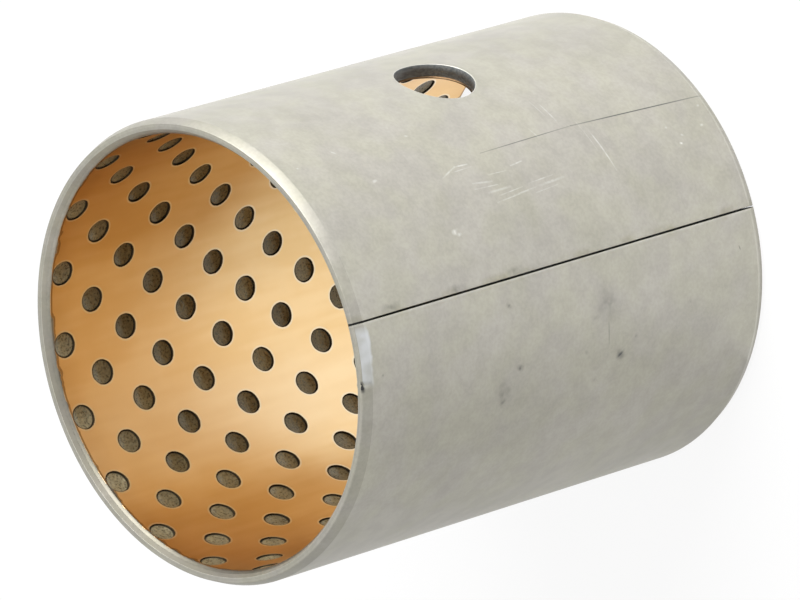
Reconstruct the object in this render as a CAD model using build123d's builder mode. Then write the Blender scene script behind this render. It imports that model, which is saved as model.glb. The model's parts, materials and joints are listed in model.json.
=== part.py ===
from build123d import *
import os
from math import cos, hypot, pi, radians, remainder, sin

# Graphite plugged bushing: steel strip lined with bronze, wrapped into a sleeve with a
# butt joint, then bored and chamfered, with graphite plugs seated in blind pockets.
# It stands on its lower end. The origin is the centre of that end, +Z runs along the
# bore, and +X runs out through the lube hole.

os.makedirs("parts", exist_ok=True)

# Driving dimensions, in millimetres and degrees.

# Sleeve
bore_diameter = 70.0
wall_thickness = 2.5
lining_thickness = 0.4
sleeve_length = 90.0
outer_chamfer_length = 1.7
outer_chamfer_height = 0.7
bore_chamfer_length = 1.2
bore_chamfer_height = 0.9

# Butt joint, which closes towards the bore, and lube hole
joint_angle = -60.0
joint_gap = 0.32
joint_gap_at_bore = 0.08
lube_hole_diameter = 13.0
lube_hole_height = 44.0

# Plugs, in staggered rings: the rings are counted down from the upper end, and the plugs of
# a ring round the bore from the joint. Each ring stands ring_stagger further round than the
# one above it. No pocket comes nearer than plug_land to an edge.
plug_diameter = 4.0
plug_recess = 0.15
plug_dish = 0.35
plug_clearance = 0.01
pocket_depth = 1.2
plug_land = 0.25
plug_pitch = 11.94
first_plug_from_joint = 9.21
ring_stagger = 5.85
ring_pitch = 6.68
first_ring_from_end = 3.46

# Sizes that follow from them
bore_radius = bore_diameter / 2
bore_circumference = 2 * pi * bore_radius
lining_seat_radius = bore_radius + lining_thickness
outer_radius = bore_radius + wall_thickness
lube_hole_radius = lube_hole_diameter / 2
plug_radius = plug_diameter / 2
pocket_radius = plug_radius + plug_clearance
pocket_edge_distance = pocket_radius + plug_land
pocket_joint_distance = joint_gap / 2 + pocket_edge_distance


def ring_heights():
    """Heights of the rings, from the first below the upper end to the last that fits."""
    heights = []
    height = sleeve_length - first_ring_from_end
    while height >= bore_chamfer_length + pocket_edge_distance:
        heights.append(height)
        height -= ring_pitch
    return heights


def clears_lube_hole(arc, height):
    """Whether a pocket at this arc from the joint, and this height, misses the lube hole."""
    joint_arc = bore_radius * radians(joint_angle)
    arc_from_hole = remainder(joint_arc + arc, bore_circumference)
    distance = hypot(arc_from_hole, height - lube_hole_height)
    return distance >= lube_hole_radius + pocket_edge_distance


def plug_planes(ring, height):
    """A plane on the bore at each plug of a ring, facing the bore's axis."""
    planes = []
    arc = (first_plug_from_joint + ring * ring_stagger) % plug_pitch
    while arc <= bore_circumference - pocket_joint_distance:
        if arc >= pocket_joint_distance and clears_lube_hole(arc, height):
            angle = radians(joint_angle) + arc / bore_radius
            outward = Vector(cos(angle), sin(angle), 0)
            origin = outward * bore_radius + Vector(0, 0, height)
            planes.append(Plane(origin=origin, x_dir=(0, 0, 1), z_dir=-outward))
        arc += plug_pitch
    return planes


rings = [plug_planes(ring, height) for ring, height in enumerate(ring_heights())]
pocket_planes = [plane for planes in rings for plane in planes]
lube_hole_plane = Plane(origin=(outer_radius, 0, lube_hole_height), z_dir=(1, 0, 0))

# Section of the whole wall, which the steel and the bronze share. It is drawn at the joint,
# where the strip's two ends meet, so that each round face runs unbroken from end to end.
with BuildSketch(Plane.XZ.rotated((0, 0, joint_angle))) as wall_section:
    with BuildLine():
        Polyline(
            (bore_radius + bore_chamfer_height, 0),
            (bore_radius, bore_chamfer_length),
            (bore_radius, sleeve_length - bore_chamfer_length),
            (bore_radius + bore_chamfer_height, sleeve_length),
            (outer_radius - outer_chamfer_height, sleeve_length),
            (outer_radius, sleeve_length - outer_chamfer_length),
            (outer_radius, outer_chamfer_length),
            (outer_radius - outer_chamfer_height, 0),
            close=True,
        )
    make_face()

# Gap of the butt joint, from the axis to one wall thickness outside the sleeve
with BuildSketch(Plane.XY.rotated((0, 0, joint_angle))) as joint_slot:
    with BuildLine():
        inner_half_gap = joint_gap_at_bore / 2
        end_radius = outer_radius + wall_thickness
        end_half_gap = joint_gap - inner_half_gap
        Polyline(
            (0, -inner_half_gap),
            (bore_radius, -inner_half_gap),
            (end_radius, -end_half_gap),
            (end_radius, end_half_gap),
            (bore_radius, inner_half_gap),
            (0, inner_half_gap),
            close=True,
        )
    make_face()

# Steel shell: the wall outside the lining's seat
with BuildPart() as steel_shell:
    revolve(wall_section.sketch, axis=Axis.Z)
    Hole(lining_seat_radius)
    extrude(joint_slot.sketch, amount=sleeve_length, mode=Mode.SUBTRACT)
    with Locations(lube_hole_plane):
        Hole(lube_hole_radius, depth=outer_radius)
    with Locations(*pocket_planes):
        Hole(pocket_radius, depth=pocket_depth)

steel_shell.part.label = "steel_shell"
export_step(steel_shell.part, "parts/steel_shell.step")

# Bronze lining: the wall inside that seat
with BuildPart() as bronze_lining:
    revolve(wall_section.sketch, axis=Axis.Z)
    Cylinder(
        lining_seat_radius,
        sleeve_length,
        align=(Align.CENTER, Align.CENTER, Align.MIN),
        mode=Mode.INTERSECT,
    )
    extrude(joint_slot.sketch, amount=sleeve_length, mode=Mode.SUBTRACT)
    with Locations(lube_hole_plane):
        Hole(lube_hole_radius, depth=outer_radius)
    with Locations(*pocket_planes):
        Hole(pocket_radius, depth=pocket_depth)

bronze_lining.part.label = "bronze_lining"
export_step(bronze_lining.part, "parts/bronze_lining.step")

# Graphite plug: a flat back on the pocket's floor, and a dished face below the bore
with BuildSketch(Plane.XZ) as plug_section:
    with BuildLine():
        face_centre = (0, -plug_recess - plug_dish)
        face_edge = (plug_radius, -plug_recess)
        Polyline(face_centre, (0, -pocket_depth), (plug_radius, -pocket_depth), face_edge)
        TangentArc(face_centre, face_edge, tangent=(1, 0))
    make_face()

with BuildPart() as plug:
    revolve(plug_section.sketch, axis=Axis.Z)

for number, planes in enumerate(rings, start=1):
    with BuildPart() as plug_ring:
        with Locations(*planes):
            add(plug.part)

    plug_ring.part.label = f"graphite_ring_{number:02d}"
    export_step(plug_ring.part, f"parts/graphite_ring_{number:02d}.step")
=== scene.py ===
import json
from math import asin, atan2, cos, degrees, hypot, pi, radians, remainder, sin, sqrt, tau
from random import Random

import bmesh
import bpy
from bpy.props import FloatProperty, FloatVectorProperty, IntProperty, PointerProperty
from mathutils import Matrix, Vector, noise


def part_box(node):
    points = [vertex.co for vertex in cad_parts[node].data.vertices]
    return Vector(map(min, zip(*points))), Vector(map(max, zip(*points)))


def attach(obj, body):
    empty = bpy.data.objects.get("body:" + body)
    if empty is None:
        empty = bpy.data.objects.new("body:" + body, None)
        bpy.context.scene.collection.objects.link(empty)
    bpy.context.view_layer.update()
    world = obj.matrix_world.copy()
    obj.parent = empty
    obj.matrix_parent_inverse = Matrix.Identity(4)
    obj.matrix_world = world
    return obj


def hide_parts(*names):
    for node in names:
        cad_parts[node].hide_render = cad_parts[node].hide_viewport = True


bl_info = {
    "name": "Graphite Plugged Bushing",
    "version": (1, 0, 0),
    "blender": (4, 5, 0),
    "location": "3D View > Sidebar > Bushing",
    "description": "Builds a wrapped steel bushing with a bronze bore and staggered graphite plugs",
    "category": "Add Mesh",
}

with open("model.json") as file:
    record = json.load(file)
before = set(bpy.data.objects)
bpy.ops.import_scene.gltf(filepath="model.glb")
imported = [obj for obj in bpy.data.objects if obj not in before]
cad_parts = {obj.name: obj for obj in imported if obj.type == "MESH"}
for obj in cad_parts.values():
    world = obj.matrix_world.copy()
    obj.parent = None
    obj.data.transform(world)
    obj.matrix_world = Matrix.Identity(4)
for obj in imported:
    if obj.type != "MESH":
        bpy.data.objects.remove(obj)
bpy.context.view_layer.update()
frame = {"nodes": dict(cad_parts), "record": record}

MM = 0.001
MOUNTS = {mount["name"]: mount for mount in frame["record"]["mounts"]}
OUTER_RADIUS = MOUNTS["outside"]["dims"]["r_mm"] * MM
BORE_RADIUS = MOUNTS["bore"]["dims"]["r_mm"] * MM
LUBE_HOLE_RADIUS = MOUNTS["lube_hole"]["dims"]["r_mm"] * MM
LUBE_HOLE_HEIGHT = MOUNTS["lube_hole"]["pos_m"][2]
SLEEVE_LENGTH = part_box("steel_shell")[1].z
RING_NODES = sorted(name for name in frame["nodes"] if name.startswith("graphite_ring"))


# Settings that a user would change


def length(name, description, default):
    """A length, in metres."""
    return FloatProperty(
        name=name, description=description, default=default, unit="LENGTH", precision=5
    )


def angle(name, description, default):
    """An angle, given in degrees."""
    return FloatProperty(
        name=name, description=description, default=radians(default), subtype="ANGLE"
    )


def factor(name, description, default):
    """A share from 0 to 1."""
    return FloatProperty(
        name=name, description=description, default=default, min=0, max=1, subtype="FACTOR"
    )


def colour(name, description, default):
    """A linear colour."""
    return FloatVectorProperty(
        name=name, description=description, default=default, min=0, max=1, subtype="COLOR"
    )


class SleeveSizes(bpy.types.PropertyGroup):
    """Sizes of the wrapped wall that the steel and the bronze share."""

    outer_radius: length("Outer radius", "Radius of the outside", OUTER_RADIUS)
    bore_radius: length("Bore radius", "Radius of the bronze bore", BORE_RADIUS)
    lining_thickness: length("Lining", "Thickness of the bronze lining", 0.4 * MM)
    length: length("Length", "Length of the sleeve along its bore", SLEEVE_LENGTH)
    outer_chamfer_length: length("Outer chamfer length", "Along the bore", 1.7 * MM)
    outer_chamfer_height: length("Outer chamfer height", "Across the wall", 0.7 * MM)
    bore_chamfer_length: length("Bore chamfer length", "Along the bore", 1.2 * MM)
    bore_chamfer_height: length("Bore chamfer height", "Across the wall", 0.9 * MM)
    joint_angle: angle("Joint angle", "Place of the butt joint round the bore", -60)
    joint_gap: length("Joint gap", "Gap between the strip's ends at the outside", 0.28 * MM)
    joint_gap_at_bore: length("Joint gap at bore", "Gap between them at the bore", 0.02 * MM)
    joint_roll: length("Joint roll", "Radius of the joint's rolled outer edges", 0.10 * MM)
    lube_hole_radius: length("Lube hole radius", "Radius of the hole", LUBE_HOLE_RADIUS)
    lube_hole_height: length("Lube hole height", "Height of its centre", LUBE_HOLE_HEIGHT)
    lube_hole_edge: length("Lube hole edge", "Radius of its outer edge", 0.12 * MM)


class PlugSizes(bpy.types.PropertyGroup):
    """Sizes and layout of the graphite plugs and their pockets."""

    radius: length("Radius", "Radius of a plug", 2.0 * MM)
    clearance: length("Clearance", "Gap between a plug and its pocket", 0.01 * MM)
    recess: length("Recess", "Depth of a plug's rim below the bore", 0.15 * MM)
    dish: length("Dish", "Extra depth of a plug's middle", 0.35 * MM)
    pocket_depth: length("Pocket depth", "Depth of the blind pocket", 1.2 * MM)
    lip: length("Lip", "Radius of the pocket's rounded lip", 0.05 * MM)
    pitch: length("Pitch", "From plug to plug round a ring", 11.94 * MM)
    stagger: length("Stagger", "How much further round each ring stands", 5.85 * MM)
    land: length("Land", "Least bronze between a pocket and an edge", 0.25 * MM)
    first_from_joint: length("First plug", "From the joint to the first plug", 9.21 * MM)
    ring_pitch: length("Ring pitch", "From ring to ring along the bore", 6.68 * MM)
    first_ring: length("First ring", "From the upper end to the first ring", 3.46 * MM)
    seed: IntProperty(
        name="Seed", description="Picks how the plugs' faces differ", default=11, min=0
    )


class Finishes(bpy.types.PropertyGroup):
    """Colours and wear of the three materials."""

    steel: colour("Steel", "Dull tin plating on the steel", (0.35, 0.339, 0.301))
    steel_mottle: factor("Steel mottle", "Strength of the plating's blotches", 0.6)
    bronze: colour("Bronze", "Machined bronze", (0.85, 0.61, 0.31))
    bronze_marks: factor("Bronze marks", "Strength of the turning marks", 0.5)
    graphite: colour("Graphite", "Pressed graphite", (0.118, 0.092, 0.042))
    wear: factor("Wear", "Strength of scratches, spots and smudges", 1.0)


class StageSettings(bpy.types.PropertyGroup):
    """The camera, the floor and the lamps."""

    aim: FloatVectorProperty(
        name="Aim",
        description="Point in the middle of the view",
        default=(-0.000854, -0.000207, 0.045332),
        subtype="TRANSLATION",
        unit="LENGTH",
        precision=5,
    )
    distance: length("Distance", "From the camera to the aim point", 1.43666)
    azimuth: angle("Azimuth", "Direction of the camera round the bore", -56.3)
    elevation: angle("Elevation", "Height of the camera over the floor", 42.272)
    roll: angle("Roll", "Turn of the camera about its line of sight", -106.462)
    lens: FloatProperty(
        name="Lens",
        description="Focal length on a 36 mm sensor",
        default=405,
        subtype="DISTANCE_CAMERA",
    )
    floor_size: length("Floor size", "Side of the square floor", 6.0)
    shadow: factor("Shadow", "How much of the floor's tone comes from the light", 0.12)


class BushingSettings(bpy.types.PropertyGroup):
    """All the settings of the bushing."""

    sleeve: PointerProperty(type=SleeveSizes)
    plugs: PointerProperty(type=PlugSizes)
    finishes: PointerProperty(type=Finishes)
    stage: PointerProperty(type=StageSettings)


# Layout, as angles round the bore and heights above the floor


def at(angle, radius, height):
    """The point at this angle round the bore, radius and height."""
    return Vector((radius * cos(angle), radius * sin(angle), height))


def ring_heights(sleeve, plugs):
    """Heights of the rings of plugs, from the upper end down."""
    lowest = sleeve.bore_chamfer_length + plugs.radius + plugs.clearance + plugs.land
    heights = []
    height = sleeve.length - plugs.first_ring
    while height >= lowest:
        heights.append(height)
        height -= plugs.ring_pitch
    return heights


def ring_arcs(sleeve, plugs, ring, height):
    """Distances round the bore from the joint to each plug of a ring."""
    reach = plugs.radius + plugs.clearance + plugs.land
    circumference = tau * sleeve.bore_radius
    joint_arc = sleeve.joint_angle * sleeve.bore_radius
    nearest = sleeve.joint_gap / 2 + reach
    arcs = []
    arc = (plugs.first_from_joint + ring * plugs.stagger) % plugs.pitch
    while arc <= circumference - nearest:
        from_hole = remainder(joint_arc + arc, circumference)
        distance = hypot(from_hole, height - sleeve.lube_hole_height)
        if arc >= nearest and distance >= sleeve.lube_hole_radius + reach:
            arcs.append(arc)
        arc += plugs.pitch
    return arcs


class Layout:
    """Columns round the bore, rows along it, and the window of each hole between them."""

    # Width of a column, and how far from the joint's faces the fine ones stand
    COLUMN = 1.0 * MM
    JOINT_STEPS = (0.0, 0.03 * MM, 0.08 * MM, 0.16 * MM, 0.30 * MM)
    # Fine columns on either side of the chip's middle
    CHIP_COLUMNS = 6
    # Room left round the lube hole in its window
    HOLE_MARGIN = 0.4 * MM
    # From a chamfer to the first row, and the least height of a row over the hole
    END_ROW = 0.06 * MM
    LEAST_ROW = 1.3 * MM

    def __init__(self, sleeve, plugs):
        self.sleeve = sleeve
        self.plugs = plugs
        self.hole_arc = -sleeve.joint_angle * sleeve.bore_radius
        self.circumference = tau * sleeve.bore_radius
        self.heights = ring_heights(sleeve, plugs)
        self.rings = [ring_arcs(sleeve, plugs, *ring) for ring in enumerate(self.heights)]
        self.arcs = self.column_arcs()
        self.rows, self.ring_rows = self.row_heights()
        self.hole_window = self.window_round_hole()
        self.pockets = list(self.pocket_windows())
        self.windows = [window for *_, window in self.pockets] + [self.hole_window]

    def column_arcs(self):
        """Arcs of the columns: close together at the joint, the hole and the chipped edge."""
        count = round(self.circumference / self.COLUMN)
        step = self.circumference / count
        arcs = [step * number for number in range(1, count)]
        reach = self.sleeve.lube_hole_radius + self.COLUMN
        arcs += [arc + step / 2 for arc in arcs if abs(arc + step / 2 - self.hole_arc) < reach]
        chip = self.circumference + CHIP_ARC
        beyond = self.CHIP_COLUMNS + 0.5
        arcs = [arc for arc in arcs if abs(arc - chip) > beyond * CHIP_COLUMN]
        numbers = range(-self.CHIP_COLUMNS, self.CHIP_COLUMNS + 1)
        arcs += [chip + number * CHIP_COLUMN for number in numbers]
        for step in self.JOINT_STEPS:
            arcs.append(self.sleeve.joint_gap / 2 + step)
            arcs.append(self.circumference - self.sleeve.joint_gap / 2 - step)
        return sorted(arcs)

    def row_heights(self):
        """Heights of the rows, and for each ring the first and last row of its windows."""
        sleeve, plugs = self.sleeve, self.plugs
        half = plugs.ring_pitch / 2
        side = plugs.ring_pitch / 4
        over_hole = sleeve.lube_hole_height + sleeve.lube_hole_radius + self.HOLE_MARGIN
        bounds = [sleeve.length - sleeve.bore_chamfer_length - self.END_ROW]
        bounds += [height - half for height in self.heights]
        # A row just below the top of the hole's window moves up to meet it
        bounds = [over_hole if 0 < over_hole - row < self.LEAST_ROW else row for row in bounds]
        rows = [sleeve.bore_chamfer_length + self.END_ROW]
        ring_rows = {}
        for ring in reversed(range(len(self.heights))):
            height = self.heights[ring]
            low, high = bounds[ring + 1], bounds[ring]
            first = len(rows)
            rows += [low, height - side, height, min(height + side, (height + high) / 2)]
            ring_rows[ring] = (first, first + 4)
        rows.append(bounds[0])
        return rows, ring_rows

    def rows_round_hole(self):
        """First and last row of the window round the lube hole."""
        sleeve = self.sleeve
        low = sleeve.lube_hole_height - sleeve.lube_hole_radius
        high = sleeve.lube_hole_height + sleeve.lube_hole_radius
        edges = sorted({row for pair in self.ring_rows.values() for row in pair})
        first = max(row for row in edges if self.rows[row] < low)
        last = min(row for row in edges if self.rows[row] > high)
        return first, last

    def window_round_hole(self):
        """(first column, last column, first row, last row) round the lube hole."""
        reach = self.sleeve.lube_hole_radius + self.HOLE_MARGIN
        first = max(c for c, arc in enumerate(self.arcs) if arc <= self.hole_arc - reach)
        last = min(c for c, arc in enumerate(self.arcs) if arc >= self.hole_arc + reach)
        return first, last, *self.rows_round_hole()

    def column_near(self, arc):
        """The column nearest to this arc, outside the fine ones at the joint."""
        edge = len(self.JOINT_STEPS) - 1
        return min(range(edge, len(self.arcs) - edge), key=lambda c: abs(self.arcs[c] - arc))

    def pocket_windows(self):
        """Each pocket's angle, height and window, which meets its neighbours half way."""
        hole_first, hole_last, hole_low, hole_high = self.hole_window
        for ring, height in enumerate(self.heights):
            low, high = self.ring_rows[ring]
            for arc in self.rings[ring]:
                first = self.column_near(arc - self.plugs.pitch / 2)
                last = self.column_near(arc + self.plugs.pitch / 2)
                if low < hole_high and high > hole_low:
                    if arc < self.hole_arc:
                        last = min(last, hole_first)
                    else:
                        first = max(first, hole_last)
                yield self.angle(arc), height, (first, last, low, high)

    def angle(self, arc):
        """Angle round the bore at this arc from the joint."""
        return self.sleeve.joint_angle + arc / self.sleeve.bore_radius


# Marks of handling on the upper edge, as arcs at the bore from the joint

CHIP_ARC = -9.2 * MM
CHIP_COLUMN = 0.15 * MM
DENT_ARC = -4.6 * MM
DENT_HALF_WIDTH = 4.8 * MM
DENT_REACH = 2.6 * MM
DENT_DEPTH = 0.10 * MM
CHIP_DEPTH = 0.45 * MM
CHIP_WIDTH = 0.5 * MM
CHIP_REACH = 1.0 * MM


def edge_damage(arc, below_end):
    """How far the dent and the chip push the outside in, this far below the upper end."""
    dent = 0.0
    across = abs(arc - DENT_ARC) / DENT_HALF_WIDTH
    if across < 1 and below_end < DENT_REACH:
        dent = DENT_DEPTH * sqrt(1 - across**2) * (1 - below_end / DENT_REACH)
    across = abs(arc - CHIP_ARC) / CHIP_WIDTH
    if across < 1 and below_end < CHIP_REACH:
        dent += CHIP_DEPTH * (1 - across) * (1 - below_end / CHIP_REACH)
    return dent


# Meshes

# Depth of the outside's slow waves, then the rows and radii of the ends' rounded edges
WAVE_DEPTH = 0.05 * MM
EDGE_ROW = 0.02 * MM
CHAMFER_BLEND = 0.35 * MM
EDGE_RADII = (0.08 * MM, 0.12 * MM, 0.3 * MM)
BORE_CORNER = 0.015 * MM

# The joint's gap: the share of it left at the upper end, how far below that end it is full,
# and how much it wavers
PINCH = 0.3
PINCH_REACH = 14 * MM
GAP_WAVER = 0.12

# Corners round a plug, rings across its face, and how the faces differ
PLUG_STEPS = 32
PLUG_RINGS = 9
PLUG_LEAN = 0.05
DISH_RANGE = (0.75, 1.15)
FINE_GRAIN = 0.035 * MM
BROAD_GRAIN = 0.05 * MM
SIDE_TOP = 0.12 * MM


class Shape:
    """The corners and faces of one piece, gathered before its mesh is made."""

    def __init__(self):
        self.points = []
        self.faces = []
        self.set_normals = {}

    def corner(self, point, normal=None):
        """Adds a corner and returns its number. A normal is given where the surface is round."""
        self.points.append(point)
        if normal is not None:
            self.set_normals[len(self.points) - 1] = normal
        return len(self.points) - 1

    def strip(self, first, second, closed=False):
        """Faces between two rows of corners, joined up at the ends if closed."""
        pairs = list(zip(first, second))
        following = pairs[1:] + pairs[:1] if closed else pairs[1:]
        for (a, b), (c, d) in zip(pairs, following):
            face = list(dict.fromkeys((a, c, d, b)))
            if len(face) > 2:
                self.faces.append(face)

    def fan(self, ring, centre):
        """Triangles from a closed ring of corners to its centre."""
        for a, b in zip(ring, ring[1:] + ring[:1]):
            self.faces.append([a, b, centre])

    def skin(self, grid, windows):
        """Faces over a grid of corners, except in its windows."""
        open_cells = set()
        for first, last, low, high in windows:
            open_cells |= {(c, r) for c in range(first, last) for r in range(low, high)}
        for c in range(len(grid) - 1):
            for r in range(len(grid[0]) - 1):
                if (c, r) not in open_cells:
                    low, high = grid[c][r : r + 2], grid[c + 1][r : r + 2]
                    self.faces.append([low[0], high[0], high[1], low[1]])

    def piece(self, name, material):
        """The finished mesh as a Blender object, closed and with even shading."""
        mesh = bpy.data.meshes.new(name)
        mesh.from_pydata(self.points, [], self.faces)
        tidy = bmesh.new()
        tidy.from_mesh(mesh)
        bmesh.ops.recalc_face_normals(tidy, faces=tidy.faces)
        if any(not edge.is_manifold for edge in tidy.edges):
            raise RuntimeError(f"the mesh of {name} isn't closed")
        tidy.to_mesh(mesh)
        tidy.free()
        mesh.shade_smooth()
        if self.set_normals:
            normals = [vertex.normal.copy() for vertex in mesh.vertices]
            for number, normal in self.set_normals.items():
                normals[number] = normal
            mesh.normals_split_custom_set_from_vertices(normals)
        mesh.materials.append(material)
        made = bpy.data.objects.new(name, mesh)
        bpy.context.scene.collection.objects.link(made)
        return made


def border(window):
    """Places (column, row) round a window, once round from its lower corner."""
    first, last, low, high = window
    places = [(c, low) for c in range(first, last)]
    places += [(last, r) for r in range(low, high)]
    places += [(c, high) for c in range(last, first, -1)]
    places += [(first, r) for r in range(high, low, -1)]
    return places


def rounded(corners, radii, steps=3):
    """A line through these (radius, height) corners, with each inner corner rounded."""
    line = [corners[0]]
    for before, corner, after, size in zip(corners, corners[1:], corners[2:], radii):
        here = Vector(corner)
        to_before = (Vector(before) - here).normalized()
        to_after = (Vector(after) - here).normalized()
        half = to_before.angle(to_after) / 2
        setback = size / (sin(half) / cos(half))
        centre = here + (to_before + to_after).normalized() * size / sin(half)
        start = (here + to_before * setback - centre).normalized()
        end = (here + to_after * setback - centre).normalized()
        for step in range(steps + 1):
            line.append(tuple(centre + start.slerp(end, step / steps) * size))
    line.append(corners[-1])
    return line


def half_gap(sleeve, radius, height):
    """Half the joint's gap at this radius and height. It narrows inwards and at the upper end."""
    across = (radius - sleeve.bore_radius) / (sleeve.outer_radius - sleeve.bore_radius)
    gap = sleeve.joint_gap_at_bore + (sleeve.joint_gap - sleeve.joint_gap_at_bore) * across
    pinch = min(1.0, PINCH + (sleeve.length - height) / PINCH_REACH)
    waver = 1 + GAP_WAVER * noise.noise((height * 220, radius * 900, 3.1))
    return gap / 2 * pinch * waver


def column_angle(layout, column, radius, height):
    """Angle of a column. The first and the last are the joint's two faces."""
    sleeve = layout.sleeve
    if column in (0, len(layout.arcs) - 1):
        offset = asin(half_gap(sleeve, radius, height) / radius)
        return sleeve.joint_angle + (offset if column == 0 else tau - offset)
    return layout.angle(layout.arcs[column])


class Wall:
    """One skin of the wrapped wall: a grid of corners on a round surface."""

    def __init__(self, shape, layout, radius, rows, outward, damage=None):
        self.shape = shape
        self.layout = layout
        self.true_radius = radius
        self.rows = rows
        self.outward = outward
        self.damage = damage
        self.grid = [
            [self.corner(*self.place(column, height)) for height in rows]
            for column in range(len(layout.arcs))
        ]

    def radius(self, arc, height):
        """Radius of the surface at this arc and height."""
        return self.true_radius - (self.damage(arc, height) if self.damage else 0.0)

    def place(self, column, height):
        """Angle, radius and height of a column at this height."""
        radius = self.radius(self.layout.arcs[column], height)
        return column_angle(self.layout, column, radius, height), radius, height

    def corner(self, angle, radius, height):
        """A new corner, which faces straight out or in where the surface is truly round."""
        normal = None if self.damage else at(angle, 1 if self.outward else -1, 0)
        return self.shape.corner(at(angle, radius, height), normal)

    def corners(self, window):
        """Corners of the grid round a window."""
        return [self.grid[c][r] for c, r in border(window)]

    def places(self, window):
        """Angles and heights of the grid round a window."""
        return [self.place(c, self.rows[r])[::2] for c, r in border(window)]

    def ring(self, places):
        """A closed ring of new corners on the surface."""
        sleeve = self.layout.sleeve
        made = []
        for angle, height in places:
            arc = (angle - sleeve.joint_angle) * sleeve.bore_radius
            made.append(self.corner(angle, self.radius(arc, height), height))
        return made


class Hole:
    """A round hole across the wall, in a window of the grid."""

    def __init__(self, wall, window, angle, height, radius):
        self.shape = wall.shape
        self.window = window
        self.angle = angle
        self.height = height
        self.radius = radius
        self.turns = self.even_turns(wall.places(window))

    def even_turns(self, places):
        """Turns, evenly spaced round the hole, that best match the places round its window."""
        step = tau / len(places)
        sine = cosine = 0.0
        for number, (angle, height) in enumerate(places):
            across = remainder(angle - self.angle, tau) * BORE_RADIUS
            turn = atan2(height - self.height, across) - number * step
            sine += sin(turn)
            cosine += cos(turn)
        start = atan2(sine, cosine)
        return [start + number * step for number in range(len(places))]

    def rim(self, wall_radius, wider):
        """Angles and heights where the hole, made this much wider, meets a round wall."""
        reach = self.radius + wider
        return [
            (self.angle + asin(reach * cos(turn) / wall_radius), self.height + reach * sin(turn))
            for turn in self.turns
        ]

    def cut(self, wall, wider=0.0, steps=(0.35, 0.7)):
        """Faces from the window in a wall to the hole, whose ring of corners it returns."""
        pairs = list(zip(wall.places(self.window), self.rim(wall.true_radius, wider)))
        before = wall.corners(self.window)
        for share in [*steps, 1.0]:
            ring = wall.ring(
                (a + (b - a) * share, c + (d - c) * share) for (a, c), (b, d) in pairs
            )
            self.shape.strip(before, ring, closed=True)
            before = ring
        return before

    def round_over(self, before, wall_radius, size, inwards, steps=3):
        """Rounds the hole's edge over, from a ring that stands size outside the hole."""
        for step in range(1, steps + 1):
            lean = step / steps * pi / 2
            sunk = size * (1 - cos(lean)) * inwards
            rim = self.rim(wall_radius, size * (1 - sin(lean)))
            places = [at(angle, wall_radius + sunk, height) for angle, height in rim]
            ring = [self.shape.corner(place) for place in places]
            self.shape.strip(before, ring, closed=True)
            before = ring
        return before

    def bottom(self, rim, floor_radius):
        """Closes a blind hole with a flat floor, this far from the bore's axis."""
        floor = []
        for turn in self.turns:
            across = self.radius * cos(turn)
            angle = self.angle + atan2(across, floor_radius)
            height = self.height + self.radius * sin(turn)
            floor.append(self.shape.corner(at(angle, hypot(floor_radius, across), height)))
        self.shape.strip(rim, floor, closed=True)
        self.shape.fan(floor, self.shape.corner(at(self.angle, floor_radius, self.height)))


def edge_rows(shape, layout, line, damage):
    """Corners along an end's edge: for each column, one for each (radius, height) of the line."""
    made = []
    for column, arc in enumerate(layout.arcs):
        row = []
        for radius, height in line:
            pushed = radius - (damage(arc, height, radius) if damage else 0.0)
            angle = column_angle(layout, column, pushed, height)
            row.append(shape.corner(at(angle, pushed, height)))
        made.append(row)
    return made


def join_walls(shape, layout, inner, outer, line, damage=None):
    """Closes the ends, along a line given for the lower one, and the joint's two faces."""
    length = layout.sleeve.length
    bottom = edge_rows(shape, layout, line, damage)
    top = edge_rows(shape, layout, [(radius, length - height) for radius, height in line], damage)
    above = [[inner.grid[c][-1], *top[c], outer.grid[c][-1]] for c in range(len(top))]
    below = [[inner.grid[c][0], *bottom[c], outer.grid[c][0]] for c in range(len(top))]
    for edge in (above, below):
        for first, second in zip(edge, edge[1:]):
            shape.strip(first, second)
    for column in (0, -1):
        shape.strip(inner.grid[column], outer.grid[column])
        shape.faces.append(above[column])
        shape.faces.append(below[column])


def lining_edge(sleeve):
    """Radius and height where the bore's chamfer passes from bronze to steel, and its slope."""
    slope = sleeve.bore_chamfer_length / sleeve.bore_chamfer_height
    radius = sleeve.bore_radius + sleeve.lining_thickness
    return radius, sleeve.bore_chamfer_length - slope * sleeve.lining_thickness, slope


def build_lining(sleeve, plugs, layout):
    """Corners and faces of the bronze lining, with a round opening at each plug."""
    shape = Shape()
    seat_radius, tip, slope = lining_edge(sleeve)
    bore = Wall(shape, layout, sleeve.bore_radius, layout.rows, False)
    seat = Wall(shape, layout, seat_radius, layout.rows, True)
    shape.skin(bore.grid, layout.windows)
    shape.skin(seat.grid, layout.windows)
    half_way = (tip + sleeve.bore_chamfer_length) / 2
    line = [
        (sleeve.bore_radius + BORE_CORNER, sleeve.bore_chamfer_length),
        (sleeve.bore_radius + sleeve.lining_thickness / 2, half_way),
        (seat_radius - EDGE_ROW, tip + EDGE_ROW * slope),
        (seat_radius, tip),
    ]
    join_walls(shape, layout, bore, seat, line)

    pocket_radius = plugs.radius + plugs.clearance
    for angle, height, window in layout.pockets:
        pocket = Hole(bore, window, angle, height, pocket_radius)
        rim = pocket.cut(bore, plugs.lip)
        rim = pocket.round_over(rim, sleeve.bore_radius, plugs.lip, 1)
        shape.strip(rim, pocket.cut(seat, steps=()), closed=True)

    hole = Hole(bore, layout.hole_window, 0.0, sleeve.lube_hole_height, sleeve.lube_hole_radius)
    rim = hole.cut(bore, plugs.lip)
    rim = hole.round_over(rim, sleeve.bore_radius, plugs.lip, 1)
    shape.strip(rim, hole.cut(seat), closed=True)
    return shape


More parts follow.
